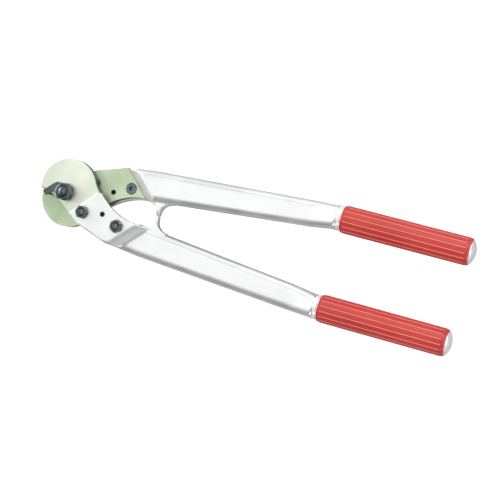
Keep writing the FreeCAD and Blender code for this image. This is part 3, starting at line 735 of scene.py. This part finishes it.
finishes = {
    "forged_aluminium": metal(
        "tumbled aluminium", dark=(0.80, 0.81, 0.805, 1.0), light=(0.87, 0.88, 0.87, 1.0),
        metallic=0.9, rough=0.36, rough_change=0.06,
        grain=900.0, stretch=EVEN, depth=0.03 * MM,
        worn=0.35, worn_colour=(0.97, 0.97, 0.97, 1.0),
        hair=0.5, along=(1.0, 26.0, 26.0),
        hollow_amount=0.45, hollow_colour=(0.22, 0.23, 0.23, 1.0)),
    "collar": metal(
        "bright turned aluminium", dark=(0.93, 0.935, 0.935, 1.0), light=(0.96, 0.96, 0.96, 1.0),
        metallic=0.25, rough=0.30, rough_change=0.05,
        grain=500.0, stretch=(14.0, 1.0, 1.0), depth=0.01 * MM,
        worn=0.2, worn_colour=(0.97, 0.97, 0.97, 1.0),
        hair=0.2, along=(26.0, 1.0, 1.0),
        hollow_amount=0.1, hollow_colour=(0.4, 0.4, 0.4, 1.0)),
    "front_blade_steel": metal(
        "light ground steel", dark=(0.67, 0.76, 0.60, 1.0), light=(0.82, 0.845, 0.73, 1.0),
        metallic=0.6, rough=0.38, rough_change=0.06,
        grain=120.0, stretch=(1.0, 22.0, 1.0), depth=0.012 * MM,
        worn=0.5, worn_colour=(0.88, 0.89, 0.87, 1.0),
        hair=0.5, along=(24.0, 1.0, 24.0),
        hollow_amount=0.35, hollow_colour=(0.20, 0.22, 0.17, 1.0),
        # dark side walls: forge skin, and painted shade along the walls
        coat=0.15, rim_skin_and_shade=(0.13, 0.16, 0.14, 1.0)),
    "rear_blade_steel": metal(
        "sage ground steel", dark=(0.43, 0.54, 0.35, 1.0), light=(0.56, 0.67, 0.47, 1.0),
        metallic=0.6, rough=0.40, rough_change=0.06,
        grain=120.0, stretch=(22.0, 1.0, 1.0), depth=0.012 * MM,
        worn=0.5, worn_colour=(0.66, 0.70, 0.62, 1.0),
        hair=0.6, along=(1.0, 24.0, 24.0),
        hollow_amount=0.5, hollow_colour=(0.12, 0.14, 0.10, 1.0),
        # dark side walls: forge skin, and painted shade along the walls
        coat=0.1, rim_skin_and_shade=(0.11, 0.13, 0.11, 1.0)),
    "black_steel": metal(
        "black oxide", dark=(0.085, 0.105, 0.115, 1.0), light=(0.14, 0.165, 0.18, 1.0),
        metallic=0.9, rough=0.22, rough_change=0.08,
        grain=700.0, stretch=EVEN, depth=0.012 * MM,
        worn=0.55, worn_colour=(0.20, 0.21, 0.22, 1.0),
        hair=0.4, along=(1.0, 20.0, 20.0),
        hollow_amount=0.3, hollow_colour=DARK_BROWN, soften=0.2 * MM),
    "spring_steel": metal(
        "dark spring steel", dark=(0.03, 0.033, 0.036, 1.0), light=(0.07, 0.073, 0.077, 1.0),
        metallic=0.9, rough=0.28, rough_change=0.08,
        grain=500.0, stretch=(1.0, 1.0, 12.0), depth=0.01 * MM,
        worn=0.5, worn_colour=(0.3, 0.3, 0.3, 1.0),
        hair=0.3, along=(20.0, 20.0, 1.0),
        hollow_amount=0.4, hollow_colour=DARK_BROWN, soften=0.15 * MM),
    "plain_steel": metal(
        "turned steel", dark=(0.34, 0.34, 0.33, 1.0), light=(0.46, 0.46, 0.45, 1.0),
        metallic=0.95, rough=0.34, rough_change=0.08,
        grain=260.0, stretch=(1.0, 1.0, 14.0), depth=0.014 * MM,
        worn=0.5, worn_colour=(0.80, 0.81, 0.80, 1.0),
        hair=0.4, along=(1.0, 20.0, 20.0),
        hollow_amount=0.6, hollow_colour=DARK_BROWN, soften=0.15 * MM),
}
print(len(finishes), "metal finishes")

# %% [markdown]
# ## Red vinyl
#
# The vinyl is a deep red with a soft sheen.  Hands polish the ribs' crests smoother, and the crests
# are painted a lighter red as a painted highlight; they are found by how far a point lies from
# its sleeve's own axis.  The grooves are darker where hollow, and duller.

# %% Red vinyl
finish, tree, surface = start_finish("red vinyl")
cloud = stretch_range(tree, use_group(tree, GRAIN, Scale=22.0, Detail=3.0), 0.3, 0.7)
pores = use_group(tree, GRAIN, Scale=1400.0, Detail=3.0)
rubbed = use_group(tree, WORN, Width=0.5 * MM, Break_up=160.0, Amount=0.45)
grooves = use_group(tree, HOLLOWS, Reach=1.6 * MM, Scale=120.0, Amount=0.2)
scuffs = use_group(tree, HAIR, Scale=40.0, Along=(18.0, 1.0, 1.0), Amount=0.3)
# the ribs' crests, found by how far a point lies from the sleeve's own axis: smoother from hands, and
# painted lighter as a painted highlight
apart = add(tree, "ShaderNodeSeparateXYZ")
feed(tree, add(tree, "ShaderNodeTexCoord").outputs["Object"], apart.inputs[0])
sleeve_low, sleeve_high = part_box("upper_grip")
axis_y = (sleeve_low.y + sleeve_high.y) / 2
off_y = work_out(tree, "SUBTRACT", work_out(tree, "ABSOLUTE", apart.outputs["Y"], 0.0), axis_y)
off_z = work_out(tree, "SUBTRACT", apart.outputs["Z"], pivot.z)
radial = add(tree, "ShaderNodeVectorMath", operation="LENGTH")
join = add(tree, "ShaderNodeCombineXYZ")
feed(tree, off_y, join.inputs["Y"])
feed(tree, off_z, join.inputs["Z"])
feed(tree, join.outputs[0], radial.inputs[0])
rib_top = (sleeve_high.y - sleeve_low.y) / 2
crest_polish_and_highlight = stretch_range(tree, radial.outputs["Value"], rib_top - 0.35 * MM, rib_top - 0.08 * MM)
colour = blend(tree, cloud, (0.47, 0.032, 0.026, 1.0), (0.54, 0.044, 0.034, 1.0))
# painted highlight: a lighter red on the crests stands for the highlight lines along the ribs
colour = blend(tree, crest_polish_and_highlight, colour, (0.84, 0.23, 0.20, 1.0))
colour = blend(tree, rubbed, colour, (0.66, 0.15, 0.13, 1.0))
# darker red where the grooves lie hollow
colour = blend(tree, grooves, colour, (0.20, 0.022, 0.02, 1.0))
feed(tree, colour, surface.inputs["Base Color"])
roughness = work_out(tree, "ADD", work_out(tree, "MULTIPLY", cloud, 0.08), 0.36)
roughness = work_out(tree, "SUBTRACT", roughness, work_out(tree, "MULTIPLY", crest_polish_and_highlight, 0.18))
roughness = work_out(tree, "ADD", roughness, work_out(tree, "MULTIPLY", scuffs, 0.25))
feed(tree, roughness, surface.inputs["Roughness"])
feed(tree, 0.04, surface.inputs["Subsurface Weight"])
feed(tree, 2.0 * MM, surface.inputs["Subsurface Scale"])
relief = add(tree, "ShaderNodeBump")
feed(tree, 0.02 * MM, relief.inputs["Distance"])
feed(tree, pores, relief.inputs["Height"])
feed(tree, relief.outputs["Normal"], surface.inputs["Normal"])
finishes["red_sleeve"] = finish
print("vinyl finish:", len(tree.nodes), "nodes")

# %% [markdown]
# ## Finishes put on
#
# New pieces take the finish of the part they stand for.  Parts that are kept as designed take
# the one that their record names.

# %% Finishes put on
for piece, slot_name in pieces:
    piece.data.materials.clear()
    piece.data.materials.append(finishes[slot_name])
for entry in record["subparts"]:
    design = nodes[entry["node"]]
    design.data.materials.clear()
    design.data.materials.append(finishes[entry["material_slot"]])
print(len(pieces), "new pieces and", len(nodes), "design parts carry a finish")

# %% [markdown]
# ## Turned collars
#
# A narrow band next to each sleeve is turned bright after the tumbling, to seat the sleeve.

# %% Turned collars
COLLAR_BEFORE = 4.2 * MM        # how far the band reaches out of the sleeve's mouth
COLLAR_INSIDE = 1.0 * MM
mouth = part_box("lower_grip")[0].x
for piece in (handle, upper):
    piece.data.materials.append(finishes["collar"])
    count = pick(piece, "FACE",
                 lambda place: mouth - COLLAR_BEFORE < place.x < mouth + COLLAR_INSIDE)
    piece.active_material_index = 1
    bpy.ops.object.material_slot_assign()
    mode("OBJECT")
    print("collar of", piece.name, count, "faces")


# %% [markdown]
# ## Studio
#
# The tool lies on its back on a pale sheet that shows as pure white.  The sky is pale overhead,
# brighter towards the upper handle and low beyond the blades, and darker towards the lower
# handle, so that the rounded edges of the arms read as soft lines.  Six soft boxes add the
# lights that the black fasteners, the sloping shoulders and the domed ends mirror.

# %% Studio
scene = bpy.context.scene
scene.view_settings.view_transform = "Standard"
bpy.ops.object.select_all(action="DESELECT")
SHEET = 6.0
UNDER_TOOL = -0.2 * MM
bpy.ops.mesh.primitive_plane_add(size=SHEET, location=(0.2, 0.0, UNDER_TOOL))
floor = bpy.context.object
floor.name = "floor"
paper, tree, surface = start_finish("pale sheet")
shade = stretch_range(tree, use_group(tree, GRAIN, Scale=6.0, Detail=2.0), 0.3, 0.7)
fibres = use_group(tree, GRAIN, Scale=900.0, Detail=3.0)
pale = blend(tree, shade, (0.46, 0.46, 0.46, 1.0), (0.50, 0.50, 0.50, 1.0))
feed(tree, pale, surface.inputs["Base Color"])
feed(tree, 0.85, surface.inputs["Roughness"])
relief = add(tree, "ShaderNodeBump")
feed(tree, 0.02 * MM, relief.inputs["Distance"])
feed(tree, fibres, relief.inputs["Height"])
feed(tree, relief.outputs["Normal"], surface.inputs["Normal"])
feed(tree, (1.0, 1.0, 1.0, 1.0), surface.inputs["Emission Color"])
seen = add(tree, "ShaderNodeLightPath").outputs["Is Camera Ray"]
feed(tree, seen, surface.inputs["Emission Strength"])
floor.data.materials.append(paper)

sky = bpy.data.worlds.new("studio sky")
sky.use_nodes = True
scene.world = sky
tree = sky.node_tree
direction = add(tree, "ShaderNodeTexCoord").outputs["Generated"]
parts = add(tree, "ShaderNodeSeparateXYZ")
feed(tree, direction, parts.inputs[0])
glow = stretch_range(tree, parts.outputs["Z"], 0.0, 0.95, 0.34, 0.50)
side = stretch_range(tree, parts.outputs["Y"], -0.8, 0.3, 0.42, 1.3)
left = stretch_range(tree, parts.outputs["X"], -0.60, -0.85, 0.0, 2.2)
far = stretch_range(tree, parts.outputs["Y"], 0.35, 0.9, 0.0, 0.55)
glow = work_out(tree, "ADD", work_out(tree, "MULTIPLY", glow, side), work_out(tree, "ADD", left, far))
feed(tree, (1.0, 1.0, 1.0, 1.0), tree.nodes["Background"].inputs["Color"])
feed(tree, glow, tree.nodes["Background"].inputs["Strength"])


def soft_box(name, place, aim, size, power):
    light = bpy.data.lights.new(name, "AREA")
    light.shape = "DISK"
    light.size = size
    light.energy = power
    box = bpy.data.objects.new(name, light)
    scene.collection.objects.link(box)
    box.location = place
    box.rotation_euler = (Vector(aim) - box.location).to_track_quat("-Z", "Y").to_euler()


BLADES = (0.03, 0.0, 0.02)
MIDDLE = (0.2, 0.0, 0.02)
SHOULDERS = (0.10, -0.03, 0.03)
GRIPS = (0.4, 0.0, 0.02)
soft_box("overhead box", place=(-0.20, 0.0, 1.35), aim=MIDDLE, size=0.7, power=1.2)
soft_box("end box", place=(1.25, -0.05, 0.35), aim=GRIPS, size=0.5, power=3.6)
soft_box("key box", place=(-0.62, 0.10, 0.50), aim=BLADES, size=0.28, power=0.8)
soft_box("glint box", place=(1.00, 0.0, 1.00), aim=BLADES, size=0.12, power=0.5)
soft_box("low box", place=(0.61, -1.00, 0.55), aim=SHOULDERS, size=0.5, power=2.2)
soft_box("side box", place=(0.45, 1.00, 0.90), aim=GRIPS, size=0.4, power=4.0)
print("studio ready")

# %% [markdown]
# ## Camera
#
# The view looks down on the tool from about two metres, a little from the grips' end, with the
# tool slanting down to the right.

# %% Camera
VIEW_LENS = 127.385
VIEW_PLACE = (0.81433, 0.04070, 1.85823)
VIEW_TURN = (1.551, -17.793, -15.185)       # degrees, of the tool as the camera sees it
camera_data = bpy.data.cameras.new("camera")
camera = bpy.data.objects.new("camera", camera_data)
scene.collection.objects.link(camera)
camera_data.lens = VIEW_LENS
camera_data.sensor_width = 36.0
seen_from = Euler([math.radians(angle) for angle in VIEW_TURN], "XYZ").to_matrix().transposed()
camera.matrix_world = Matrix.Translation(VIEW_PLACE) @ seen_from.to_4x4()
scene.camera = camera
print("camera", round(camera.location.z, 3), "m above the sheet")
